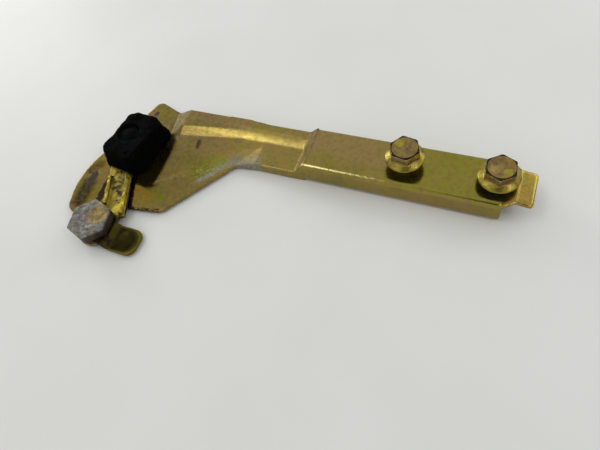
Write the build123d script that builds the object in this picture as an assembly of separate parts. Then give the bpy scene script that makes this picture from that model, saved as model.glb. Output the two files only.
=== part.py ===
from build123d import *
import os
from math import atan2, degrees, hypot

# Door closer arm: a plated steel pressing that bolts to a door by its channel end and carries a
# swinging lever with a rubber buffer on its head plate.
# Millimetres. X runs along the channel towards its end tab, Y across it, Z up.
# The origin is under the inner bolt's axis, on the plane that the arm rests on.

os.makedirs("parts", exist_ok=True)

# ---- driving dimensions ----
SHEET = 1.6                 # steel thickness of the pressing and of the lever
CHANNEL_WIDTH = 21.0
CHANNEL_TOP = 10.0          # height of the channel's outer face over the resting plane
BEND_OUTER = 2.2            # outer radius of the channel's long bends
BOLT_PITCH = 34.0           # spacing of the two bolt holes along the channel
BOLT_HOLE = 6.6
CHANNEL_END = 37.5          # where the channel's side walls stop
SHOULDER_END = 41.2         # where the slanted corners reach the tab's width
TAB_END = 47.2
TAB_WIDTH = 15.0
TAB_DROP = 1.0              # how far the tab's tip is bent down
TAB_CORNER = 1.2
JOGGLE_TOP = -39.4          # the step between channel and neck
JOGGLE_FOOT = -43.4
NECK_CORNER = -72.0         # where the neck's front wall has faded into the head plate
STEP_TOP = -104.6           # the step at the neck's far end
STEP_FOOT = -113.0          # where that step meets the head plate, at the neck's back wall
STEP_SKEW = 0.19            # how far the foot's line moves towards +X for each mm of -Y
NECK_BACK = 10.6            # the neck's back wall, in Y
NECK_SPREAD = -30.0         # how far towards -Y the neck's slope has spread at the step
PLATE_BOTTOM = 0.8          # head plate's underside
PLATE_TOP = PLATE_BOTTOM + SHEET

PIVOT = (-118.4, -56.6)     # axis of the lever
HEX_FLATS = 17.0            # grey hexagonal head over the pivot
HEX_TURN = 42.0             # turn of the hexagon's corner from +X
HEX_CHAMFER = 0.9           # how far the top's corners are chamfered down
SHIM = 0.3
RUN_GAP = 0.05              # axial play of the lever
LEVER_BOTTOM = PLATE_TOP + SHIM + RUN_GAP
LEVER_TOP = LEVER_BOTTOM + SHEET
SHOULDER_DIAMETER = 10.0
RUNNING_FIT = 0.04          # radial clearance of the lever's bush on the stud
BUSH_DIAMETER = 12.0
WASHER_THICK = 0.8          # height of the pivot's wave washer
HEX_BOTTOM = LEVER_TOP + RUN_GAP + WASHER_THICK
HEX_TOP = 9.6
HEAD_DISH = 0.5             # depth of the shallow dish in each hexagonal head
PIVOT_DISH_RADIUS = 22.0
TAIL_DIAMETER = 7.0
PEEN_DIAMETER = 9.4
PEEN_BOTTOM = 0.1
EYE_DIAMETER = 16.4         # lever's eye and the two rings over the pivot
RING_BORE = SHOULDER_DIAMETER + 0.2

LEG_WIDTH = 11.4
LIP_SPAN = 10.6                   # distance over the two raised edges
LEG_TOP_END = (-122.7, -28.1)     # where the leg comes out from under the rubber
LEG_FOOT = (-112.6, -51.6)        # where it joins the cross bar
LIP_HEIGHT = 1.3                  # raised edges along the leg
LIP_WIDTH = 2.0
FOOT_DROP = 1.75                  # the finger tab lies this much lower than the cross bar
LIP_START = 3.0                   # where the raised edges begin, along the leg
LEG_UNDER_RUBBER = 9.0
BAR_END = -109.4
SLOPE_END = -106.8
FINGER_EDGES = (-65.0, -52.8)     # the finger tab's two long edges in Y
FINGER_WIDTH = FINGER_EDGES[1] - FINGER_EDGES[0]
FINGER_LENGTH = 11.6
FINGER_ROUND = 4.2
FINGER_DISH = 0.6
DISH_RADIUS = 16.0

BUFFER_CENTRE = (-121.9, -13.8)
BUFFER_TURN = -8.0                # degrees, long axis against Y
BUFFER_BASE = (23.2, 29.2)
BUFFER_TOP_SIZE = (17.6, 25.2)
BUFFER_TOP_SHIFT = (2.0, -1.0)
BUFFER_BOTTOM = PLATE_TOP + 0.4
BUFFER_TOP = 14.6
BUFFER_BASE_ROUND = 6.0
BUFFER_TOP_ROUND = 4.4
PAD = (15.0, 20.0)                # lever's pad inside the rubber
SLEEVE_OUTER = 8.0
RIVET_SHANK = 5.0
PAD_ROUND = 4.0
RECESS_DIAMETER = 9.0
RECESS_FLOOR = 12.7
RECESS_WASHER = 0.6               # thickness of the washer in the recess
RIVET_HEAD = 7.6
RIVET_DOME = 0.9
RIVET_DOME_RADIUS = 8.5

BOLTS = (("inner", 0.0, 4.1, 52.0), ("outer", BOLT_PITCH, 2.8, 36.0))   # place, x, standoff, hex turn
BOLT_THREAD = 6.0
BOLT_WAIST = 5.0                  # shank above the thread, so that the bolt can slide and stay captive
WAIST_LENGTH = 7.6                # from the flange down to the thread
BOLT_LENGTH = 11.6                # from the flange down to the thread's end
BOLT_FLATS = 10.2
FLANGE_DIAMETER = 15.0
FLANGE_RIM = 0.9
FLANGE_HEIGHT = 2.1
BOLT_HEAD_HEIGHT = 6.0
HEAD_DISH_RADIUS = 16.0
RETAINER_DIAMETER = 10.0
RETAINER_THICK = 0.8
RETAINER_PLACE = 6.4              # from the flange down to the retainer

STRIP_THICK = PLATE_BOTTOM        # strip welded under the head plate, which rests on the plane


def save(node, shape):
    """Write one sub-part as its own STEP file."""
    shape.label = node
    export_step(shape, "parts/" + node + ".step")


def prism(outline, low, high):
    """A vertical prism over a closed outline of plan points."""
    face = make_face(Polyline(*outline, close=True))
    return Pos(0, 0, low) * extrude(face, high - low)


def side_bar(outline, y_low, y_high):
    """A bar across the arm over a closed outline of (x, z) points."""
    face = make_face(Polyline(*[(x, 0, z) for x, z in outline], close=True))
    return Pos(0, y_low, 0) * extrude(face, y_high - y_low, dir=(0, 1, 0))


def disc(centre, diameter, low, high):
    """A vertical cylinder between two heights."""
    upright = Cylinder(diameter / 2, high - low, align=(Align.CENTER, Align.CENTER, Align.MIN))
    return Pos(centre[0], centre[1], low) * upright


def hexagon(centre, flats, turn, low, high):
    """A hexagonal prism with a corner at the given turn from +X."""
    outline = RegularPolygon(flats / 2, 6, major_radius=False)
    return Pos(centre[0], centre[1], low) * extrude(Rot(0, 0, turn) * outline, high - low)


# ---- the pressing ----
def span(ring_a, ring_b):
    """A closed polyhedron between two rings of as many points, with its long faces in triangles."""
    count = len(ring_a)
    faces = [flat(ring_a), flat(ring_b)]
    for i in range(count):
        j = (i + 1) % count
        faces.append(flat([ring_a[i], ring_a[j], ring_b[j]]))
        faces.append(flat([ring_a[i], ring_b[j], ring_b[i]]))
    return Solid(Shell(faces))


def flat(points):
    return Face(Wire.make_polygon([Vector(*p) for p in points], close=True))


def neck_rings(inner):
    """Cross sections of the neck, from the joggle to the foot of the step onto the head plate.

    Each row is: x, then (y, z) of the back corner, the upper and lower fold of the slanted band
    and the front corner. The inner form is the outer one less the sheet.
    """
    half = CHANNEL_WIDTH / 2
    rows = [
        (JOGGLE_TOP, (half, CHANNEL_TOP), (4.5, CHANNEL_TOP), (1.5, CHANNEL_TOP), (-half, CHANNEL_TOP), 0),
        (JOGGLE_FOOT, (10.2, 6.6), (5.6, 6.6), (1.0, 5.0), (-10.7, 4.9), 0),
        (-62.0, (10.2, 6.6), (5.6, 6.7), (1.0, 5.0), (-10.8, 4.8), 0),
        (NECK_CORNER, (10.9, 6.8), (5.6, 6.8), (1.0, 5.0), (-12.2, 2.6), PLATE_BOTTOM),
        (STEP_TOP, (NECK_BACK, 6.8), (1.0, 6.8), (-3.8, 5.0), (NECK_SPREAD, PLATE_TOP), PLATE_BOTTOM),
    ]
    rings = []
    for x, back, upper, lower, front, base in rows:
        if inner:
            wall = SHEET if base == 0 else SHEET / 2
            below = base - 1.0
            rings.append([
                (x, back[0] - SHEET, below), (x, back[0] - SHEET, back[1] - SHEET),
                (x, upper[0], upper[1] - SHEET), (x, lower[0], lower[1] - SHEET),
                (x, front[0] + wall, front[1] - SHEET), (x, front[0] + wall, below)])
        else:
            rings.append([
                (x, back[0], base), (x, *back), (x, *upper), (x, *lower), (x, *front),
                (x, front[0], base)])
    top = PLATE_BOTTOM + 0.01 if inner else PLATE_TOP + 0.01
    base = PLATE_BOTTOM - 1.0 if inner else PLATE_BOTTOM
    back = NECK_BACK - SHEET if inner else NECK_BACK
    foot = [(step_foot(y), y) for y in (back, 1.0, -3.8, NECK_SPREAD)]
    rings.append([(*foot[0], base), *[(x, y, top) for x, y in foot], (*foot[3], base)])
    return rings


def step_foot(y):
    """X of the line where the raised neck meets the flat head plate."""
    return STEP_FOOT + (NECK_BACK - y) * STEP_SKEW


def neck_form(inner):
    rings = neck_rings(inner)
    form = span(rings[0], rings[1])
    for ring_a, ring_b in zip(rings[1:], rings[2:]):
        form = form + span(ring_a, ring_b)
    return form


def head_outline():
    """Plan of the flat head plate: rounded tip, bowed left edge, lobe, and a cut edge to the neck."""
    edges = [
        Line((-113.0, 11.0), (-123.2, 14.6)),
        ThreePointArc((-123.2, 14.6), (-127.0, 14.2), (-128.6, 11.0)),
        Line((-128.6, 11.0), (-139.5, -20.0)),
        ThreePointArc((-139.5, -20.0), (-142.7, -33.5), (-140.3, -47.4)),
        ThreePointArc((-140.3, -47.4), (-137.8, -51.8), (-132.8, -53.0)),
        Line((-132.8, -53.0), (-126.4, -52.4)),
        Line((-126.4, -52.4), (-126.2, -59.6)),
        ThreePointArc((-126.2, -59.6), (-118.4, -65.4), (-110.7, -59.6)),
        Line((-110.7, -59.6), (-111.4, -44.7)),
        Line((-111.4, -44.7), (-97.5, -42.9)),
        ThreePointArc((-97.5, -42.9), (-94.9, -42.2), (-92.9, -41.0)),
        Line((-92.9, -41.0), (-72.0, -12.6)),
        Line((-72.0, -12.6), (-72.0, 10.9)),
        Line((-72.0, 10.9), (-113.0, 11.0)),
    ]
    return make_face(Wire(edges))


def channel_section(width, height, radius, low):
    """A filleted channel section on the YZ plane."""
    with BuildSketch(Plane.YZ) as section:
        with Locations((0, (height + low) / 2)):
            Rectangle(width, height - low)
        fillet(section.vertices().group_by(Axis.Z)[-1], radius)
    return section.sketch


def end_tab():
    """The flat tongue beyond the walls: slanted corners, then a tab bent slightly down."""
    half = CHANNEL_WIDTH / 2 - 0.3
    tab = TAB_WIDTH / 2
    low = CHANNEL_TOP - SHEET
    shoulder = prism([(CHANNEL_END - 0.5, half), (CHANNEL_END + 0.4, half), (SHOULDER_END, tab),
                      (SHOULDER_END, -tab), (CHANNEL_END + 0.4, -half), (CHANNEL_END - 0.5, -half)],
                     low, CHANNEL_TOP)
    tongue = side_bar([(SHOULDER_END - 0.6, CHANNEL_TOP), (TAB_END, CHANNEL_TOP - TAB_DROP),
                       (TAB_END, low - TAB_DROP), (SHOULDER_END - 0.6, low)], -tab, tab)
    tip_corners = tongue.edges().filter_by(Axis.Z).group_by(Axis.X)[-1]
    return shoulder + fillet(tip_corners, TAB_CORNER)


def make_arm_pressing():
    length = CHANNEL_END - JOGGLE_TOP
    outer = Pos(JOGGLE_TOP, 0, 0) * extrude(channel_section(CHANNEL_WIDTH, CHANNEL_TOP, BEND_OUTER, 0),
                                            length)
    inner = Pos(JOGGLE_TOP - 0.01, 0, 0) * extrude(
        channel_section(CHANNEL_WIDTH - 2 * SHEET, CHANNEL_TOP - SHEET, BEND_OUTER - SHEET, -1),
        length + 1)
    head = Pos(0, 0, PLATE_BOTTOM) * extrude(head_outline(), SHEET)
    body = outer + head + neck_form(False) - inner - neck_form(True) + end_tab()
    for x in (0, BOLT_PITCH):
        body = body - disc((x, 0), BOLT_HOLE, CHANNEL_TOP - 3, CHANNEL_TOP + 1)
    return body - disc(PIVOT, TAIL_DIAMETER, -1, PLATE_TOP + 1)


def make_head_strip():
    """Thin strip spot-welded under the plate along its bowed edge; its face is on the resting plane."""
    spine = [(-124.8, 8.6), (-129.4, -6.0), (-134.0, -20.0), (-136.6, -33.6), (-135.6, -44.5)]
    width = 7.0
    strip = None
    for a, b in zip(spine, spine[1:]):
        run = capsule(a, b, width, 0, STRIP_THICK)
        strip = run if strip is None else strip + run
    return strip


def capsule(a, b, width, low, high):
    """A flat bar with rounded ends between two plan points."""
    length = hypot(b[0] - a[0], b[1] - a[1])
    turn = degrees(atan2(b[1] - a[1], b[0] - a[0]))
    bar = extrude(SlotCenterToCenter(length, width), high - low)
    return Pos((a[0] + b[0]) / 2, (a[1] + b[1]) / 2, low) * Rot(0, 0, turn) * bar


# ---- the pivot ----
def make_pivot_stud():
    """Grey hexagonal head with a shallow dish, ground shoulder, and a tail peened under the plate."""
    head = hexagon(PIVOT, HEX_FLATS, HEX_TURN, HEX_BOTTOM, HEX_TOP)
    slope = HEX_TOP - HEX_BOTTOM
    crown = Cone(HEX_FLATS / 2 + slope + HEX_CHAMFER, HEX_FLATS / 2, slope + HEX_CHAMFER,
                 align=(Align.CENTER, Align.CENTER, Align.MIN))
    head = head & (Pos(PIVOT[0], PIVOT[1], HEX_BOTTOM) * crown)
    dish = Pos(PIVOT[0], PIVOT[1], HEX_TOP + PIVOT_DISH_RADIUS - HEAD_DISH) * Sphere(PIVOT_DISH_RADIUS)
    shoulder = disc(PIVOT, SHOULDER_DIAMETER, PLATE_TOP, HEX_BOTTOM)
    tail = disc(PIVOT, TAIL_DIAMETER, PLATE_BOTTOM, PLATE_TOP)
    peen = disc(PIVOT, PEEN_DIAMETER, PEEN_BOTTOM, PLATE_BOTTOM)
    return head - dish + shoulder + tail + peen


def make_ring(centre, outer, inner, low, high):
    return disc(centre, outer, low, high) - disc(centre, inner, low - 1, high + 1)


def make_pivot_spring_washer():
    """Wave washer, drawn at its working height."""
    return make_ring(PIVOT, EYE_DIAMETER, RING_BORE, HEX_BOTTOM - WASHER_THICK, HEX_BOTTOM)


def make_pivot_shim():
    return make_ring(PIVOT, EYE_DIAMETER, RING_BORE, PLATE_TOP, PLATE_TOP + SHIM)


def make_lever_bush():
    bore = SHOULDER_DIAMETER + 2 * RUNNING_FIT
    return make_ring(PIVOT, BUSH_DIAMETER, bore, LEVER_BOTTOM, LEVER_TOP)


# ---- the lever ----
def make_buffer_lever():
    """Pad under the rubber, leg with raised edges, cross bar round the pivot, and the finger tab."""
    pad = Pos(BUFFER_CENTRE[0], BUFFER_CENTRE[1], LEVER_BOTTOM) * Rot(0, 0, BUFFER_TURN) * extrude(
        RectangleRounded(PAD[0], PAD[1], PAD_ROUND), SHEET)
    leg = leg_bar(LEG_WIDTH, LEVER_BOTTOM, LEVER_TOP, 0)
    lips = leg_bar(LIP_SPAN, LEVER_TOP, LEVER_TOP + LIP_HEIGHT, LIP_START)
    lips = lips - leg_bar(LIP_SPAN - 2 * LIP_WIDTH, LEVER_TOP, LEVER_TOP + LIP_HEIGHT + 1, 0)
    lips = lips - disc(PIVOT, HEX_FLATS * 1.155 + 1.0, LEVER_TOP, LEVER_TOP + LIP_HEIGHT + 1)
    eye = disc(PIVOT, EYE_DIAMETER, LEVER_BOTTOM, LEVER_TOP)
    bar = prism([(PIVOT[0], -48.8), (LEG_FOOT[0] + 2.6, -50.6), (BAR_END, FINGER_EDGES[1]),
                 (BAR_END, FINGER_EDGES[0] + 0.4), (PIVOT[0], -64.2)], LEVER_BOTTOM, LEVER_TOP)
    lever = pad + leg + lips + eye + bar + finger_tab()
    return lever - disc(PIVOT, BUSH_DIAMETER, 0, LEVER_TOP + 1) - disc(
        BUFFER_CENTRE, RIVET_SHANK, 0, LEVER_TOP + 1)


def leg_bar(width, low, high, start):
    """A bar along the leg, from start past its upper end, down to its foot."""
    (ax, ay), (bx, by) = LEG_TOP_END, LEG_FOOT
    length = hypot(bx - ax, by - ay)
    ux, uy = (bx - ax) / length, (by - ay) / length
    near = start if start else -LEG_UNDER_RUBBER
    far = length - 1.0 if start else length
    nx, ny = -uy * width / 2, ux * width / 2
    corners = [(ax + ux * t + nx * s, ay + uy * t + ny * s)
               for t, s in ((near, 1), (far, 1), (far, -1), (near, -1))]
    return prism(corners, low, high)


def finger_tab():
    """A slope down from the cross bar, then a dished tab with a rounded end."""
    low = LEVER_BOTTOM - FOOT_DROP
    high = LEVER_TOP - FOOT_DROP
    ramp = side_bar([(BAR_END - 0.5, LEVER_BOTTOM), (BAR_END - 0.5, LEVER_TOP), (BAR_END, LEVER_TOP),
                     (SLOPE_END, high), (SLOPE_END, low)], *FINGER_EDGES)
    finger = Pos(SLOPE_END, sum(FINGER_EDGES) / 2, low)
    return ramp + finger * tab_plate(SHEET)


def tab_plate(thickness):
    plate = extrude(RectangleRounded(FINGER_LENGTH * 2, FINGER_WIDTH, FINGER_ROUND), thickness)
    plate = plate & Pos(FINGER_LENGTH / 2, 0, thickness / 2) * Box(FINGER_LENGTH, FINGER_WIDTH, thickness)
    dish = Pos(FINGER_LENGTH * 0.45, 0, thickness + DISH_RADIUS - FINGER_DISH) * Sphere(DISH_RADIUS)
    return plate - dish


# ---- the rubber buffer ----
def buffer_place(shift, height):
    turn = Rot(0, 0, BUFFER_TURN)
    return Pos(BUFFER_CENTRE[0] + shift[0], BUFFER_CENTRE[1] + shift[1], height) * turn


def make_rubber_buffer():
    """Tapered rounded block moulded over the lever's pad, with a recess for the rivet's head."""
    base = buffer_place((0, 0), BUFFER_BOTTOM) * RectangleRounded(*BUFFER_BASE, BUFFER_BASE_ROUND)
    top = buffer_place(BUFFER_TOP_SHIFT, BUFFER_TOP) * RectangleRounded(*BUFFER_TOP_SIZE, BUFFER_TOP_ROUND)
    block = loft([base, top])
    pad = buffer_place((0, 0), 0) * extrude(RectangleRounded(PAD[0], PAD[1], PAD_ROUND), LEVER_TOP)
    block = block - pad
    block = block - leg_bar(LEG_WIDTH + 0.02, 0, LEVER_TOP + 0.01, 0)
    block = block - disc(BUFFER_CENTRE, SLEEVE_OUTER, 0, BUFFER_TOP + 1)
    return block - disc(BUFFER_CENTRE, RECESS_DIAMETER, RECESS_FLOOR, BUFFER_TOP + 1)


def make_buffer_sleeve():
    return make_ring(BUFFER_CENTRE, SLEEVE_OUTER, RIVET_SHANK, LEVER_TOP, RECESS_FLOOR)


def make_buffer_washer():
    return make_ring(BUFFER_CENTRE, RECESS_DIAMETER - 0.4, RIVET_SHANK, RECESS_FLOOR,
                     RECESS_FLOOR + RECESS_WASHER)


def make_buffer_rivet():
    head_low = RECESS_FLOOR + RECESS_WASHER
    shank = disc(BUFFER_CENTRE, RIVET_SHANK, LEVER_BOTTOM, head_low)
    dome = Pos(BUFFER_CENTRE[0], BUFFER_CENTRE[1], head_low + RIVET_DOME - RIVET_DOME_RADIUS) * Sphere(
        RIVET_DOME_RADIUS)
    return shank + (dome & disc(BUFFER_CENTRE, RIVET_HEAD, head_low, BUFFER_TOP))


# ---- the loose bolts ----
def bolt_profile(flange_low):
    """Half section of the dog point on the resting plane, thread, waist and flange."""
    thread_end = flange_low - BOLT_LENGTH
    thread = BOLT_THREAD / 2
    waist = BOLT_WAIST / 2
    rim = FLANGE_DIAMETER / 2
    point = thread * 0.65
    return [
        (0, 0), (point, 0), (point, thread_end), (thread, thread_end + 0.9),
        (thread, flange_low - WAIST_LENGTH), (waist, flange_low - WAIST_LENGTH), (waist, flange_low),
        (rim - 0.3, flange_low),
        (rim, flange_low + 0.3), (rim, flange_low + FLANGE_RIM),
        (BOLT_FLATS / 2 + 0.5, flange_low + FLANGE_HEIGHT), (0, flange_low + FLANGE_HEIGHT),
    ]


def make_mount_bolt(x, standoff, turn):
    """Flanged hex bolt with a dished head and a pilot point, standing loose in its hole."""
    flange_low = CHANNEL_TOP + standoff
    section = make_face(Plane.XZ * Polyline(*bolt_profile(flange_low), close=True))
    body = revolve(section, Axis.Z)
    low = flange_low + FLANGE_RIM
    top = flange_low + BOLT_HEAD_HEIGHT
    head = hexagon((0, 0), BOLT_FLATS, turn, low, top)
    crown = Pos(0, 0, low) * Cone(BOLT_FLATS / 2 + 2 * (top - low), BOLT_FLATS / 2 + 0.45, top - low,
                                  align=(Align.CENTER, Align.CENTER, Align.MIN))
    dish = Pos(0, 0, top + HEAD_DISH_RADIUS - HEAD_DISH) * Sphere(HEAD_DISH_RADIUS)
    return Pos(x, 0, 0) * (body + (head & crown) - dish)


def make_bolt_retainer(x, standoff):
    """Push-on retainer under the channel that keeps its bolt captive."""
    high = CHANNEL_TOP + standoff - RETAINER_PLACE
    bore = BOLT_WAIST + 2 * RUNNING_FIT
    return make_ring((x, 0), RETAINER_DIAMETER, bore, high - RETAINER_THICK, high)


save("arm_pressing", make_arm_pressing())
save("head_strip", make_head_strip())
save("pivot_stud", make_pivot_stud())
save("pivot_spring_washer", make_pivot_spring_washer())
save("pivot_shim", make_pivot_shim())
save("lever_bush", make_lever_bush())
save("buffer_lever", make_buffer_lever())
save("rubber_buffer", make_rubber_buffer())
save("buffer_sleeve", make_buffer_sleeve())
save("buffer_washer", make_buffer_washer())
save("buffer_rivet", make_buffer_rivet())
for place, x, standoff, turn in BOLTS:
    save("mount_bolt_" + place, make_mount_bolt(x, standoff, turn))
    save("bolt_retainer_" + place, make_bolt_retainer(x, standoff))
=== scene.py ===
import bpy
import bmesh
import math
import numpy as np
from mathutils import Matrix, Vector, noise


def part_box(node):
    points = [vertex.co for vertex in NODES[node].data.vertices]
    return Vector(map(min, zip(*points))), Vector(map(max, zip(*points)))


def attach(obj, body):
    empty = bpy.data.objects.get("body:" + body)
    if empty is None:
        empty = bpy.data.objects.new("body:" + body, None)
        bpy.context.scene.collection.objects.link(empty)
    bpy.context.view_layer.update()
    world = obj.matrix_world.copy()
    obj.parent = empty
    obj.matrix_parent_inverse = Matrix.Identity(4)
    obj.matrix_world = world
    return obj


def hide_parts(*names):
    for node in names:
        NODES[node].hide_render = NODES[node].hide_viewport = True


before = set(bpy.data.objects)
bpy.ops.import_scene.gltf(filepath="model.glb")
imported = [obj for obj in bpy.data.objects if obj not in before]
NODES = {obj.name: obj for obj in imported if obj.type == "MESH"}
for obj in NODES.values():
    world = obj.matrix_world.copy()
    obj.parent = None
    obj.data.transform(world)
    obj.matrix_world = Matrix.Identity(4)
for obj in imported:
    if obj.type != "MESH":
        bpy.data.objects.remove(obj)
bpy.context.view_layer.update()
MM = 0.001
SCENE = bpy.context.scene

# The camera was fitted to the photo by least squares, so these keep the fit's decimals.
CAMERA_ANGLES = (-38.284, 57.876, -19.825)      # heading, elevation and roll, degrees
CAMERA_PLACE = (29.217, -110.890, 161.729)      # mm
CAMERA_LENS = 28.79                             # mm on a 36 mm sensor
FLOOR_DROP = 0.02                               # mm, keeps the floor clear of the bolts' points
BOLT_HEAD_RISE = 6.0                            # mm, from the flange's seat to the hexagon's top
PATCH_REACH = 3.0                               # mm, from a bolt's axis to its bright patch
LEG_PATH = [(-122.7, -28.1), (-112.6, -51.6)]   # mm, the middle of the lever's leg in plan


# ---- camera, lights and floor ----
def make_camera():
    """A phone camera held above the arm's front right, tipped to one side."""
    heading, elevation, roll = (math.radians(a) for a in CAMERA_ANGLES)
    forward = Vector((math.sin(heading) * math.cos(elevation), math.cos(heading) * math.cos(elevation),
                      -math.sin(elevation)))
    right = forward.cross(Vector((0, 0, 1))).normalized()
    up = right.cross(forward)
    tilted_right = right * math.cos(roll) + up * math.sin(roll)
    tilted_up = up * math.cos(roll) - right * math.sin(roll)
    turn = Matrix((tilted_right, tilted_up, -forward)).transposed().to_4x4()
    data = bpy.data.cameras.new("camera")
    data.lens = CAMERA_LENS
    data.sensor_width = 36.0
    data.clip_start = 0.005
    camera = bpy.data.objects.new("camera", data)
    camera.matrix_world = Matrix.Translation(Vector(CAMERA_PLACE) * MM) @ turn
    SCENE.collection.objects.link(camera)
    SCENE.camera = camera


def area_light(name, place, target, size, watts, colour):
    data = bpy.data.lights.new(name, "AREA")
    data.shape = "RECTANGLE"
    data.size, data.size_y = size
    data.energy = watts
    data.color = colour
    light = bpy.data.objects.new(name, data)
    light.location = place
    light.rotation_euler = (Vector(target) - Vector(place)).to_track_quat("-Z", "Y").to_euler()
    SCENE.collection.objects.link(light)


def make_studio():
    area_light("key_light", (-0.80, 0.34, 0.26), (-0.08, 0.02, 0), (0.30, 0.30), 1.5, (1.0, 0.99, 0.97))
    area_light("soft_box", (-0.40, -0.17, 0.72), (-0.06, 0, 0), (0.34, 0.18), 0.55, (1.0, 0.99, 0.96))
    area_light("back_light", (0.34, 0.46, 0.34), (0.12, 0.20, 0), (0.28, 0.28), 0.45, (1.0, 1.0, 0.98))
    area_light("side_light", (0.42, -0.07, 0.48), (0.017, 0, 0.013), (0.09, 0.09), 0.30, (1.0, 1.0, 0.97))
    world = bpy.data.worlds.new("studio")
    world.use_nodes = True
    background = world.node_tree.nodes["Background"]
    background.inputs["Color"].default_value = (0.81, 0.82, 0.80, 1)
    background.inputs["Strength"].default_value = 0.80
    SCENE.world = world
    SCENE.view_settings.view_transform = "Standard"


def flat_sheet(name, half):
    bm = bmesh.new()
    bmesh.ops.create_grid(bm, x_segments=8, y_segments=8, size=half)
    mesh = bpy.data.meshes.new(name)
    bm.to_mesh(mesh)
    bm.free()
    sheet = bpy.data.objects.new(name, mesh)
    SCENE.collection.objects.link(sheet)
    return sheet


def make_floor():
    floor = flat_sheet("floor", 1.6)
    floor.location.z = -FLOOR_DROP * MM
    t = Tree("pale_table")
    coat = t.ramp(t.noise(0.02, 2, 0.5), [(0.3, (0.80, 0.80, 0.785)), (0.7, (0.83, 0.83, 0.82))])
    t.finish(coat, 0.55, metallic=0.0)
    floor.data.materials.append(t.material)


def make_dark_card():
    """Stands where a person with a phone would lean over the arm; only reflections show it."""
    card = flat_sheet("dark_card", 0.15)
    card.location = (0.14, -0.26, 0.395)
    toward = Vector((-0.045, -0.01, 0)) - card.location
    card.rotation_euler = toward.to_track_quat("Z", "Y").to_euler()
    card.visible_camera = False
    t = Tree("dark_clothes")
    cloth = t.ramp(t.noise(0.02, 3, 0.5), [(0.3, (0.010, 0.010, 0.011)), (0.7, (0.022, 0.021, 0.020))])
    t.finish(cloth, 0.9, metallic=0.0)
    card.data.materials.append(t.material)


# ---- node helpers; coordinates are millimetres in the arm's own frame ----
class Tree:
    """A small builder for one procedural material."""

    def __init__(self, name):
        self.material = bpy.data.materials.new(name)
        self.material.use_nodes = True
        self.nodes = self.material.node_tree.nodes
        self.links = self.material.node_tree.links
        self.nodes.clear()
        coordinates = self.nodes.new("ShaderNodeTexCoord")
        scale = self.nodes.new("ShaderNodeVectorMath")
        scale.operation = "SCALE"
        scale.inputs["Scale"].default_value = 1000.0
        self.links.new(coordinates.outputs["Object"], scale.inputs[0])
        self.place = scale.outputs[0]

    def plug(self, socket, value):
        if isinstance(value, bpy.types.NodeSocket):
            self.links.new(value, socket)
        elif isinstance(value, tuple):
            socket.default_value = (*value, 1.0)
        else:
            socket.default_value = value

    def noise(self, scale, detail=4.0, rough=0.55, stretch=None, distort=0.0):
        n = self.nodes.new("ShaderNodeTexNoise")
        place = self.place
        if stretch:
            m = self.nodes.new("ShaderNodeMapping")
            m.inputs["Scale"].default_value = stretch
            self.links.new(self.place, m.inputs["Vector"])
            place = m.outputs[0]
        self.links.new(place, n.inputs["Vector"])
        n.inputs["Scale"].default_value = scale
        n.inputs["Detail"].default_value = detail
        n.inputs["Roughness"].default_value = rough
        n.inputs["Distortion"].default_value = distort
        return n.outputs["Fac"]

    def ramp(self, fac, stops):
        n = self.nodes.new("ShaderNodeValToRGB")
        elements = n.color_ramp.elements
        while len(elements) < len(stops):
            elements.new(0.5)
        for e, (at, colour) in zip(elements, stops):
            e.position = at
            e.color = (*colour, 1.0)
        self.links.new(fac, n.inputs["Fac"])
        return n.outputs["Color"]

    def math(self, operation, a, b=0.0, clamp=False):
        n = self.nodes.new("ShaderNodeMath")
        n.operation = operation
        n.use_clamp = clamp
        self.plug(n.inputs[0], a)
        self.plug(n.inputs[1], b)
        return n.outputs[0]

    def mask(self, value, low, high):
        """0 below low, 1 above high, smooth between."""
        n = self.nodes.new("ShaderNodeMapRange")
        n.interpolation_type = "SMOOTHSTEP"
        self.plug(n.inputs["Value"], value)
        n.inputs["From Min"].default_value = low
        n.inputs["From Max"].default_value = high
        return n.outputs[0]

    def mix(self, fac, a, b):
        """A colour mix; the node's colour sockets come after its number and vector ones."""
        factor_in, first_in, second_in, colour_out = 0, 6, 7, 2
        n = self.nodes.new("ShaderNodeMix")
        n.data_type = "RGBA"
        self.plug(n.inputs[factor_in], fac)
        self.plug(n.inputs[first_in], a)
        self.plug(n.inputs[second_in], b)
        return n.outputs[colour_out]

    def axis(self, index):
        n = self.nodes.new("ShaderNodeSeparateXYZ")
        self.links.new(self.place, n.inputs[0])
        return n.outputs[index]

    def layer(self, name):
        """A value painted on the mesh's points."""
        n = self.nodes.new("ShaderNodeAttribute")
        n.attribute_name = name
        return n.outputs["Fac"]

    def ragged(self, name, scale, spread, low, high):
        """A painted layer broken up by noise, so that its edge and its inside are speckled."""
        wander = self.math("MULTIPLY", self.math("SUBTRACT", self.noise(scale, 5, 0.65), 0.5), spread)
        painted = self.math("MULTIPLY", self.mask(self.layer(name), 0.02, 0.15), wander)
        return self.mask(self.math("ADD", self.layer(name), painted), low, high)

    def bump(self, height, strength, distance):
        n = self.nodes.new("ShaderNodeBump")
        n.inputs["Strength"].default_value = strength
        n.inputs["Distance"].default_value = distance
        self.links.new(height, n.inputs["Height"])
        return n.outputs[0]

    def finish(self, colour, roughness, metallic=1.0, normal=None, **more):
        shader = self.nodes.new("ShaderNodeBsdfPrincipled")
        self.plug(shader.inputs["Base Color"], colour)
        self.plug(shader.inputs["Roughness"], roughness)
        self.plug(shader.inputs["Metallic"], metallic)
        for key, value in more.items():
            self.plug(shader.inputs[key.replace("_", " ")], value)
        if normal is not None:
            self.links.new(normal, shader.inputs["Normal"])
        output = self.nodes.new("ShaderNodeOutputMaterial")
        self.links.new(shader.outputs[0], output.inputs["Surface"])
        return self.material


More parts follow.
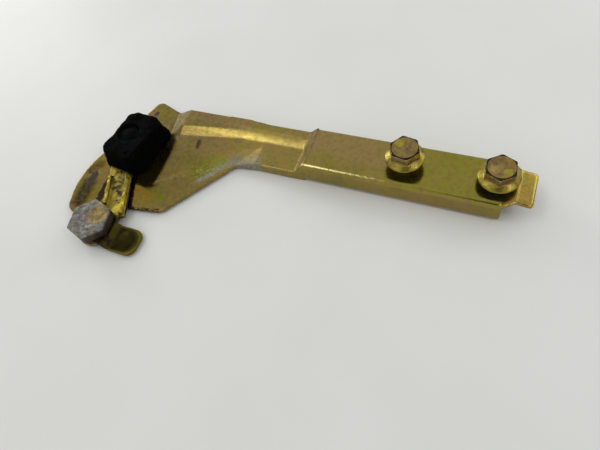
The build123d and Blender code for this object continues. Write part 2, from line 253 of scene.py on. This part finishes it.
# ---- mesh helpers ----
def welded(node):
    """A copy of a CAD node's mesh with its shared points joined."""
    bm = bmesh.new()
    bm.from_mesh(NODES[node].data)
    bmesh.ops.remove_doubles(bm, verts=bm.verts, dist=1e-7)
    mesh = bpy.data.meshes.new(node + "_form")
    bm.to_mesh(mesh)
    bm.free()
    return mesh


def softened(node, name, voxel, rounds):
    """A dense form of a CAD node with its corners rounded, as pressing and plating leave them."""
    raw = bpy.data.objects.new(name + "_raw", welded(node))
    SCENE.collection.objects.link(raw)
    remesh = raw.modifiers.new("dense", "REMESH")
    remesh.mode = "VOXEL"
    remesh.voxel_size = voxel * MM
    smooth = raw.modifiers.new("rounded", "SMOOTH")
    smooth.factor = 0.5
    smooth.iterations = rounds
    mesh = bpy.data.meshes.new_from_object(raw.evaluated_get(bpy.context.evaluated_depsgraph_get()))
    bpy.data.objects.remove(raw)
    mesh.name = name
    mesh.materials.clear()
    mesh.shade_smooth()
    piece = bpy.data.objects.new(name, mesh)
    SCENE.collection.objects.link(piece)
    return piece


def points_of(mesh):
    co = np.empty(len(mesh.vertices) * 3)
    mesh.vertices.foreach_get("co", co)
    return co.reshape(-1, 3) / MM


def normals_of(mesh):
    n = np.empty(len(mesh.vertices) * 3)
    mesh.vertex_normals.foreach_get("vector", n)
    return n.reshape(-1, 3)


def set_points(mesh, points):
    mesh.vertices.foreach_set("co", (points * MM).ravel())
    mesh.update()


def paint(mesh, name, values):
    layer = mesh.attributes.new(name, "FLOAT", "POINT")
    layer.data.foreach_set("value", np.clip(values, 0, 1).astype(np.float32))


def lumps(points, scale, offset=0.0):
    """Smooth noise at each point, about -1 to 1, with features of the given size in mm."""
    shift = Vector((offset, offset * 1.7, -offset))
    return np.array([noise.noise(Vector(p) / scale + shift) for p in points])


def ramp01(value, low, high):
    t = np.clip((value - low) / (high - low), 0, 1)
    return t * t * (3 - 2 * t)


def near_path(points, path):
    """Plan distance of each point from a line of plan points."""
    best = np.full(len(points), 1e9)
    for (ax, ay), (bx, by) in zip(path, path[1:]):
        d = np.array([bx - ax, by - ay])
        t = np.clip(((points[:, 0] - ax) * d[0] + (points[:, 1] - ay) * d[1]) / (d @ d), 0, 1)
        gap = np.hypot(points[:, 0] - ax - t * d[0], points[:, 1] - ay - t * d[1])
        best = np.minimum(best, gap)
    return best


def stand_in(piece, node, body, material):
    piece.data.materials.append(material)
    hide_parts(node)
    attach(piece, body)


# ---- materials ----
def plated_material():
    """Yellow zinc plating: gold to olive with pink and green bloom, scratches, grime and white rust."""
    t = Tree("yellow_zinc_plating")
    broad = t.noise(0.045, 3, 0.5, distort=0.6)
    bloom = t.ramp(broad, [(0.30, (0.26, 0.20, 0.040)), (0.45, (0.33, 0.25, 0.058)),
                           (0.58, (0.34, 0.24, 0.070)), (0.74, (0.29, 0.25, 0.045))])
    green = t.mix(t.ragged("green", 0.11, 1.1, 0.15, 0.95), bloom, (0.29, 0.27, 0.030))
    pink = t.mix(t.ragged("pink", 0.13, 0.8, 0.10, 0.90), green, (0.37, 0.25, 0.100))
    amber = t.mix(t.layer("amber"), pink, (0.40, 0.24, 0.020))
    # The gold layer is in part a painted highlight on the neck's crease slope; the weak gold at the right
    # end is plating tone.
    gold = t.mix(t.layer("gold"), amber, (0.50, 0.38, 0.100))
    mottle = t.noise(0.5, 5, 0.6)
    varied = t.mix(t.mask(mottle, 0.42, 0.70), gold, t.mix(0.45, gold, (0.20, 0.15, 0.06)))
    # The shade layer is painted shade on the step and the joggle, darkens the arm towards the head end, and
    # lays two stains.
    shade = t.math("MULTIPLY", t.layer("shade"), t.math("ADD", 0.62, mottle), clamp=True)
    varied = t.mix(shade, varied, (0.022, 0.018, 0.003))
    scorch = t.math("MULTIPLY", t.layer("scorch"), t.math("ADD", 0.55, mottle), clamp=True)
    marked = t.mix(scorch, varied, (0.050, 0.030, 0.024))
    specks = t.mask(t.noise(1.3, 3, 0.6), 0.66, 0.72)
    grime = t.ragged("grime", 0.9, 1.1, 0.50, 0.66)
    dotted = t.mix(t.math("MAXIMUM", t.math("MULTIPLY", specks, 0.45), grime), marked,
                   (0.040, 0.024, 0.010))
    chalk = t.ragged("chalk", 1.9, 3.0, 0.70, 1.10)
    chalky = t.mix(chalk, dotted, t.ramp(t.noise(2.6, 3, 0.6), [(0.38, (0.12, 0.115, 0.085)),
                                                                (0.66, (0.44, 0.43, 0.37))]))
    # The worn layer is a painted highlight along the channel's front bend and the joggle's fold, in part
    # plating wear.
    worn = t.mix(t.ragged("worn", 0.8, 1.2, 0.46, 0.72), chalky, (0.66, 0.55, 0.25))
    scratch = t.noise(0.9, 5, 0.7, stretch=(0.3, 1.2, 1.2))
    rough = t.math("ADD", t.math("MULTIPLY", t.mask(scratch, 0.35, 0.75), 0.12), 0.15)
    rough = t.math("ADD", rough, t.math("MULTIPLY", t.math("MAXIMUM", chalk, scorch), 0.35))
    rough = t.math("ADD", rough, t.math("MULTIPLY", t.layer("soft"), 0.30))
    rough = t.math("SUBTRACT", rough, t.math("MULTIPLY", t.layer("polish"), 0.11), clamp=True)
    metal = t.math("SUBTRACT", 0.96, t.math("MULTIPLY", chalk, 0.7), clamp=True)
    relief = t.math("ADD", t.math("MULTIPLY", t.noise(0.35, 6, 0.62), 0.8),
                    t.math("MULTIPLY", t.noise(3.2, 2, 0.5), 0.25))
    relief = t.math("ADD", relief, t.math("MULTIPLY", chalk, 0.6))
    return t.finish(worn, rough, metal, t.bump(relief, 0.16, 0.00016))


def greasy_material():
    """Plated lever under old brown grease, with painted highlights on its lips and painted shade over its
    finger tab.
    """
    t = Tree("greasy_plating")
    base = t.ramp(t.noise(0.16, 4, 0.55), [(0.30, (0.20, 0.155, 0.020)), (0.55, (0.30, 0.225, 0.030)),
                                           (0.75, (0.23, 0.20, 0.030))])
    # Bright is in part a painted highlight on the lips and rim; dull is painted shade.
    bright = t.mix(t.ragged("bright", 0.7, 1.2, 0.30, 0.90), base, (0.46, 0.36, 0.045))
    dull = t.mix(t.layer("dull"), bright, (0.034, 0.026, 0.005))
    grease = t.ragged("grease", 0.42, 1.7, 0.42, 0.80)
    tone = t.ramp(t.noise(0.8, 4, 0.6), [(0.42, (0.008, 0.004, 0.002)), (0.70, (0.070, 0.036, 0.008))])
    colour = t.mix(grease, dull, tone)
    rough = t.math("ADD", 0.26, t.math("MULTIPLY", t.noise(0.9, 4, 0.6), 0.22))
    metal = t.math("SUBTRACT", 0.92, t.math("MULTIPLY", grease, 0.75), clamp=True)
    relief = t.math("ADD", t.math("MULTIPLY", t.noise(0.5, 6, 0.65), 0.8),
                    t.math("MULTIPLY", grease, 0.6))
    return t.finish(colour, rough, metal, t.bump(relief, 0.45, 0.0003), Specular_IOR_Level=0.15)


def bolt_material(centre_x, seat):
    """Bolt plating: brown and olive head with a dark rim and a pale front edge, yellow flange."""
    t = Tree("bolt_plating_%d" % centre_x)
    height = t.math("SUBTRACT", t.axis(2), seat)
    head = t.ramp(t.noise(0.34, 4, 0.6, distort=0.5),
                  [(0.32, (0.16, 0.11, 0.045)), (0.47, (0.27, 0.17, 0.065)),
                   (0.58, (0.32, 0.24, 0.070)), (0.72, (0.24, 0.21, 0.050))])
    head = t.mix(t.ragged("patch", 0.6, 1.4, 0.35, 0.95), head, (0.42, 0.34, 0.05))
    flange = t.ramp(t.noise(0.30, 4, 0.6),
                    [(0.36, (0.16, 0.115, 0.025)), (0.52, (0.34, 0.265, 0.040)),
                     (0.70, (0.22, 0.180, 0.032))])
    colour = t.mix(t.mask(height, 1.7, 2.5), flange, head)
    wear = t.mask(t.noise(1.4, 5, 0.7), 0.56, 0.70)
    colour = t.mix(t.math("MULTIPLY", wear, 0.5), colour, (0.07, 0.045, 0.025))
    colour = t.mix(t.ragged("rim", 1.0, 0.5, 0.35, 0.75), colour, (0.030, 0.020, 0.014))
    # The pale front edge is in part a painted highlight.
    colour = t.mix(t.ragged("edge", 0.9, 1.2, 0.45, 0.75), colour, (0.66, 0.58, 0.48))
    rough = t.math("ADD", 0.20, t.math("MULTIPLY", t.noise(0.8, 4, 0.6), 0.20))
    return t.finish(colour, rough, 0.93, t.bump(t.noise(0.8, 6, 0.65), 0.35, 0.0003))


def grey_material():
    """Bare grey head of the pivot, mottled, with yellow-brown left in its dish."""
    t = Tree("worn_grey_steel")
    base = t.ramp(t.noise(0.42, 6, 0.66), [(0.32, (0.05, 0.05, 0.050)), (0.48, (0.14, 0.13, 0.115)),
                                           (0.60, (0.25, 0.225, 0.19)), (0.72, (0.46, 0.45, 0.42))])
    stain = t.ragged("stain", 0.5, 1.0, 0.36, 0.66)
    tone = t.ramp(t.noise(0.38, 4, 0.6), [(0.36, (0.13, 0.09, 0.035)), (0.60, (0.33, 0.24, 0.07))])
    colour = t.mix(stain, base, tone)
    colour = t.mix(t.mask(t.noise(2.2, 4, 0.6), 0.62, 0.74), colour, (0.62, 0.62, 0.61))
    # Under and wall are painted shade, edge a painted highlight.
    colour = t.mix(t.math("MULTIPLY", t.layer("under"), 0.9), colour, (0.045, 0.030, 0.014))
    colour = t.mix(t.layer("wall"), colour, (0.050, 0.055, 0.058))
    colour = t.mix(t.ragged("edge", 0.9, 1.2, 0.50, 0.85), colour, (0.46, 0.46, 0.46))
    rough = t.math("ADD", 0.36, t.math("MULTIPLY", t.noise(0.7, 5, 0.6), 0.3))
    return t.finish(colour, rough, 0.78, t.bump(t.noise(0.75, 7, 0.7), 0.6, 0.0004))


def rubber_material():
    """Dull black rubber with a little pale dust in its recess and round its side."""
    t = Tree("worn_black_rubber")
    colour = t.ramp(t.noise(0.35, 5, 0.6),
                    [(0.35, (0.0006, 0.0006, 0.0007)), (0.60, (0.0010, 0.0011, 0.0012)),
                     (0.80, (0.0028, 0.0031, 0.0036))])
    dust = t.math("MULTIPLY", t.layer("dust"), t.mask(t.noise(0.9, 5, 0.7), 0.45, 0.62))
    colour = t.mix(dust, colour, (0.006, 0.007, 0.009))
    rough = t.math("ADD", 0.66, t.math("MULTIPLY", t.noise(0.6, 4, 0.6), 0.30))
    relief = t.math("ADD", t.noise(0.5, 7, 0.68), t.math("MULTIPLY", t.noise(2.4, 3, 0.6), 0.35))
    return t.finish(colour, rough, 0.0, t.bump(relief, 0.7, 0.0006), Specular_IOR_Level=0.03)


def plain_metal(name, dark, light, rough):
    t = Tree(name)
    colour = t.ramp(t.noise(0.5, 6, 0.6), [(0.35, dark), (0.66, light)])
    roughness = t.math("ADD", rough, t.math("MULTIPLY", t.noise(1.2, 4, 0.6), 0.2))
    return t.finish(colour, roughness, 0.9, t.bump(t.noise(1.6, 5, 0.6), 0.25, 0.0002))


def sooty_metal(name):
    """Steel blackened by rubber dust."""
    t = Tree(name)
    colour = t.ramp(t.noise(0.5, 6, 0.6),
                    [(0.35, (0.0008, 0.0008, 0.0009)), (0.66, (0.0024, 0.0026, 0.0030))])
    return t.finish(colour, 0.8, 0.0, t.bump(t.noise(1.0, 6, 0.66), 0.5, 0.0004), Specular_IOR_Level=0.04)


# ---- pieces ----
def make_pressing():
    piece = softened("arm_pressing", "arm_steel", 0.40, 6)
    p = points_of(piece.data)
    n = normals_of(piece.data)
    x, y, z = p.T
    rolled = np.maximum(0, 3.0 - np.abs(y - 5.6)) ** 2 * 0.030
    rolled *= ramp01(n[:, 2], 0.4, 0.8) * ramp01(x, -112, -104) * ramp01(x, -44, -47)
    p[:, 2] -= rolled
    set_points(piece.data, p)
    n = normals_of(piece.data)
    up = ramp01(n[:, 2], 0.2, 0.8)
    top = ramp01(n[:, 2], 0.3, 0.6)

    def spot(path, outer, inner):
        return ramp01(near_path(p, path), outer, inner)

    channel = ramp01(x, -46, -40)
    band = ramp01(x, -111, -101) * ramp01(x, -38.5, -43.5)
    step = ramp01(x, -115.5, -113.5) * ramp01(x, -103.0, -105.0) * ramp01(y, -12, -4) * top
    joggle = ramp01(x, -44.2, -43.0) * ramp01(x, -38.0, -39.6)
    slope = np.where(top > 0.5, -n[:, 1], 0)
    # Part of gold, shade and worn stands for light on the crease, step, joggle and bend, not for dirt.
    paint(piece.data, "gold", 0.90 * band * ramp01(slope, 0.05, 0.30) * ramp01(y, 0.4, 1.6)
          + 0.12 * ramp01(x, 40.5, 42.5))
    paint(piece.data, "green", channel * ramp01(x, -22, 6) * ramp01(x, 44, 30) * 0.62 * up
          + spot([(-123.4, 11.2), (-121.0, 9.6)], 5.5, 1.5) * 0.7
          + spot([(-60, 9), (-66, 8)], 8, 2) * 0.5
          + spot([(-101.0, -34.2), (-98.2, -35.4)], 6, 1) * 0.95
          + spot([(-86, -19), (-80, -13)], 7, 2) * 0.8)
    paint(piece.data, "amber", spot([(-111.0, -36.0), (-105.5, -36.5)], 7.5, 1) * 0.85
          + spot([(-137.6, -29), (-131, -24)], 7, 2) * 0.6
          + spot([(-137, -44), (-128, -44)], 9, 3) * 0.35
          + ramp01(x, 38, 41.5) * 0.35)
    paint(piece.data, "pink", (spot([(-36, 4), (-12, 2)], 11, 3) * 0.6
                               + spot([(-104, 8), (-74, 8)], 6, 2) * 0.8
                               + spot([(-105, -8), (-85, -6)], 9, 3) * 0.5
                               + spot([(-136.6, -50.6), (-135.5, -48.5)], 5, 2) * 0.8
                               + spot([(-130, 5), (-127.5, 7.5)], 4, 2) * 0.8) * up)
    paint(piece.data, "scorch", spot([(-136.0, -32.8), (-136.4, -35.6)], 2.6, 1.2)
          + 0.25 * spot([(-136.4, -37.5), (-135.4, -46.0)], 4.0, 1.0)
          + 0.45 * spot([(-137.6, -30), (-136.8, -32)], 2.6, 1.2)
          + 0.8 * spot([(-92.9, -4.8), (-92.5, -7.6)], 1.5, 0.6) * ramp01(x, -96, -94)
          + spot([(-124.7, 8.2), (-125.1, 7.2)], 1.7, 0.7))
    paint(piece.data, "polish", spot([(-113, -23), (-90, -22)], 14.0, 8.0) * top)
    # Painted shade on the step facet and the joggle; the arm darkens towards the head end; the two spots
    # are stains beside the scorch mark.
    paint(piece.data, "shade", step * 0.30
          + 0.26 * ramp01(x, -60, -96)
          + spot([(-136.4, -37.5), (-135.2, -47.0)], 5.4, 1.5) * 0.55
          + spot([(-139.5, -31), (-137, -27)], 3.5, 1.0) * 0.4
          + joggle * 0.5 * top * ramp01(y, -11, -8))
    # Besides grime spots, this layer paints near-black bands along both sides of the lever's leg and beside
    # the pivot.
    paint(piece.data, "grime", spot([(-100, 3), (-60, 4)], 7, 2) * 0.34
          + spot([(-4, -7), (6, -9)], 6, 2) * 0.4
          + spot([(-126.4, -31), (-127.2, -35), (-126.2, -43.5)], 3.2, 0.6) * 0.85
          + spot([(-115.6, -29.6), (-112.2, -38), (-110.0, -43)], 2.8, 0.8) * 0.8
          + spot([(-112, -44.2), (-97.0, -42.4), (-95.2, -41.6)], 1.5, 0.4) * 0.6
          + 0.9 * spot([(-126.5, -52.5), (-114, -50)], 3.0, 1.0))
    edge = near_path(p, [(-96.5, -39.5), (-90.5, -31), (-84.0, -23), (-74, -11), (-60, -10.5)])
    paint(piece.data, "chalk", ramp01(edge, 2.2, 0.3) * 0.46
          + spot([(-85, -20), (-79, -14), (-73, -9), (-62, -8.5)], 7.0, 2) * 0.60
          + spot([(-71, -9), (-63, -7.5)], 5, 2) * 0.2
          + spot([(-66, 2), (-64, 10.5)], 4, 1) * 0.40
          + spot([(-36, -10), (38, -10)], 1.6, 0.4) * 0.30
          + spot([(6, 9.8), (36, 9.8)], 1.8, 0.4) * 0.34)
    paint(piece.data, "soft", 1.3 * step
          + joggle
          + spot([(-71, -9), (-63, -7.5)], 6, 3)
          + 0.3 * band)
    # Painted highlight along the channel's front bend and the joggle's fold, in part plating wear.
    paint(piece.data, "worn", channel * ramp01(z, 9.2, 9.6) * spot([(-40, -9.4), (38, -9.4)], 1.0, 0.3)
          * ramp01(x, 30, -30) * 0.75
          + spot([(-43.9, -9), (-43.9, 4)], 0.7, 0.2) * 0.5 * top)
    stand_in(piece, "arm_pressing", "arm", plated_material())


def make_lever():
    piece = softened("buffer_lever", "lever_steel", 0.30, 4)
    p = points_of(piece.data)
    wavy = lumps(p, 2.6) * 0.10 - 0.05 + lumps(p, 1.7, 4.0) * 0.34 * ramp01(p[:, 2], 4.4, 5.2)
    set_points(piece.data, p + normals_of(piece.data) * wavy[:, None])
    leg = near_path(p, LEG_PATH)
    lip = ramp01(p[:, 2], 4.5, 5.3)
    finger = ramp01(p[:, 0], -108.0, -106.0)
    centre = near_path(p, [(-110, -58.9), (-101.4, -58.9)])
    # Bright is a painted highlight on the lips and the finger tab's rim, and lightens two small spots; dull
    # is painted shade over the finger tab and beside the stud.
    paint(piece.data, "bright", lip * 0.38
          + 0.26 * finger * ramp01(centre, 4.6, 5.8) * ramp01(p[:, 2], 2.0, 2.4)
          + 0.60 * ramp01(near_path(p, [(-110.0, -54.6), (-104.9, -54.1)]), 2.4, 0.8)
          + 0.9 * ramp01(near_path(p, [(-112.3, -45.0), (-113.1, -47.2)]), 3.2, 1.2))
    paint(piece.data, "dull", finger * (0.55 + 0.45 * ramp01(centre, 6.2, 4.8))
          + 0.9 * ramp01(p[:, 0], -115, -113) * ramp01(p[:, 1], -49.0, -51.0) * (1 - finger))
    # The last two grease terms darken the lever most round its eye at the stud.
    paint(piece.data, "grease", 0.60 * ramp01(leg, 4.6, 2.0) * (1 - lip) * ramp01(p[:, 1], -47, -42)
          + 0.46 * ramp01(leg, 4.9, 3.9) * lip * ramp01(p[:, 1], -45, -38)
          + 0.75 * ramp01(leg, 4.9, 5.6) * ramp01(p[:, 2], 4.6, 4.0) * ramp01(p[:, 1], -50, -48)
          + 0.80 * ramp01(p[:, 1], -48.6, -50.2) * ramp01(p[:, 0], -109.5, -112.0)
          + 0.85 * ramp01(near_path(p, [(-110.5, -60.9), (-107.4, -61.5)]), 3.0, 1.0))
    stand_in(piece, "buffer_lever", "lever", greasy_material())


def make_rubber():
    piece = softened("rubber_buffer", "rubber_block", 0.45, 8)
    p = points_of(piece.data)
    low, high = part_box("rubber_buffer")
    centre = (low + high) / (2 * MM)
    out = normals_of(piece.data)
    height = ramp01(p[:, 2], 4, 9)
    worn = lumps(p, 6.5) * 0.75 + lumps(p, 2.6, 5.0) * 0.30 + lumps(p, 1.1, 9.0) * 0.10 - 0.35
    set_points(piece.data, p + out * (worn * height)[:, None])
    reach = np.hypot(p[:, 0] - centre.x - 1, p[:, 1] - centre.y + 1)
    paint(piece.data, "dust", ramp01(reach, 8, 3) * ramp01(p[:, 2], 10, 12)
          + 0.6 * ramp01(np.abs(p[:, 2] - 13.2), 1.6, 0.4))
    stand_in(piece, "rubber_buffer", "lever", rubber_material())


def make_stud():
    piece = softened("pivot_stud", "pivot_head", 0.28, 5)
    p = points_of(piece.data)
    set_points(piece.data, p + normals_of(piece.data) * (lumps(p, 1.9)[:, None] * 0.10 - 0.05))
    low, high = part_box("pivot_stud")
    centre = (low + high) / (2 * MM)
    dx, dy = p[:, 0] - centre.x, p[:, 1] - centre.y
    top = ramp01(p[:, 2], 8.4, 9.0)
    reach = np.hypot(dx, dy)
    front = ramp01(-dy - 0.3 * dx, 3.0, 6.5)
    side = ramp01(p[:, 2], 9.2, 8.5)
    paint(piece.data, "stain", 0.72 * ramp01(np.hypot(dx - 3.0, dy - 3.0), 8.2, 2.4) * top)
    # Under and wall are painted shade on the hexagon's lower rim and sides; edge is a painted highlight on
    # its front top edge.
    paint(piece.data, "under", ramp01(p[:, 2], 6.0, 5.0) * ramp01(dx, -2, 0)
          + side * ramp01(dx, 0.5, 3.5))
    paint(piece.data, "wall", side * ramp01(dx, 2.5, -0.5))
    paint(piece.data, "edge", ramp01(p[:, 2], 8.7, 9.0) * ramp01(reach, 7.4, 8.2) * front * 0.55)
    stand_in(piece, "pivot_stud", "arm", grey_material())


def make_bolt(place, patch_turn):
    """The patch of bright plating on the hexagon's top lies at patch_turn from +X."""
    node = "mount_bolt_" + place
    piece = softened(node, "bolt_" + place, 0.26, 4)
    p = points_of(piece.data)
    n = normals_of(piece.data)
    wear_offset = 3.0 if place == "inner" else 8.0
    set_points(piece.data, p + n * (lumps(p, 2.2, wear_offset)[:, None] * 0.06 - 0.03))
    low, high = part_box(node)
    seat = high.z / MM - BOLT_HEAD_RISE
    centre_x = (low.x + high.x) / (2 * MM)
    dx, dy = p[:, 0] - centre_x, p[:, 1]
    reach = np.hypot(dx, dy)
    turn = np.degrees(np.arctan2(dy, dx))
    px = PATCH_REACH * math.cos(math.radians(patch_turn))
    py = PATCH_REACH * math.sin(math.radians(patch_turn))
    head_top = ramp01(p[:, 2], seat + 5.0, seat + 5.4)
    paint(piece.data, "patch", head_top * ramp01(np.hypot(dx - px, dy - py), 3.0, 1.0) * 0.8)
    paint(piece.data, "rim", ramp01(p[:, 2], seat + 5.3, seat + 5.7) * ramp01(reach, 4.5, 5.0))
    corner = ramp01(p[:, 2], seat + 5.0, seat + 5.3) * ramp01(p[:, 2], seat + 5.7, seat + 5.5)
    front = ramp01(np.abs(turn + 90), 80, 40)
    # The pale front edge stands in part for light, and it turns with the bolt.
    paint(piece.data, "edge", corner * ramp01(reach, 4.6, 5.0) * front * 0.6)
    stand_in(piece, node, "bolt_" + place, bolt_material(centre_x, seat))


def dress_cad_nodes():
    finishes = {
        "head_strip": plain_metal("strip_plating", (0.26, 0.21, 0.08), (0.46, 0.38, 0.14), 0.34),
        # The spring washer is near black in part as painted shade under the hexagon.
        "pivot_spring_washer": plain_metal("spring_steel", (0.02, 0.016, 0.010), (0.07, 0.055, 0.035), 0.4),
        "pivot_shim": plain_metal("shim_brass", (0.10, 0.07, 0.02), (0.24, 0.18, 0.06), 0.36),
        "lever_bush": plain_metal("bush_bronze", (0.22, 0.13, 0.06), (0.42, 0.27, 0.12), 0.36),
        "buffer_sleeve": plain_metal("sleeve_steel", (0.10, 0.10, 0.10), (0.28, 0.27, 0.26), 0.38),
        "buffer_washer": sooty_metal("washer_steel"),
        "buffer_rivet": sooty_metal("rivet_steel"),
        "bolt_retainer_inner": plain_metal("retainer_inner", (0.10, 0.09, 0.06), (0.30, 0.26, 0.16), 0.35),
        "bolt_retainer_outer": plain_metal("retainer_outer", (0.10, 0.09, 0.06), (0.30, 0.26, 0.16), 0.35),
    }
    for node, material in finishes.items():
        mesh = NODES[node].data
        mesh.materials.clear()
        mesh.materials.append(material)


make_camera()
make_studio()
make_floor()
make_dark_card()
make_pressing()
make_lever()
make_rubber()
make_stud()
make_bolt("inner", 143.0)
make_bolt("outer", -35.0)
dress_cad_nodes()
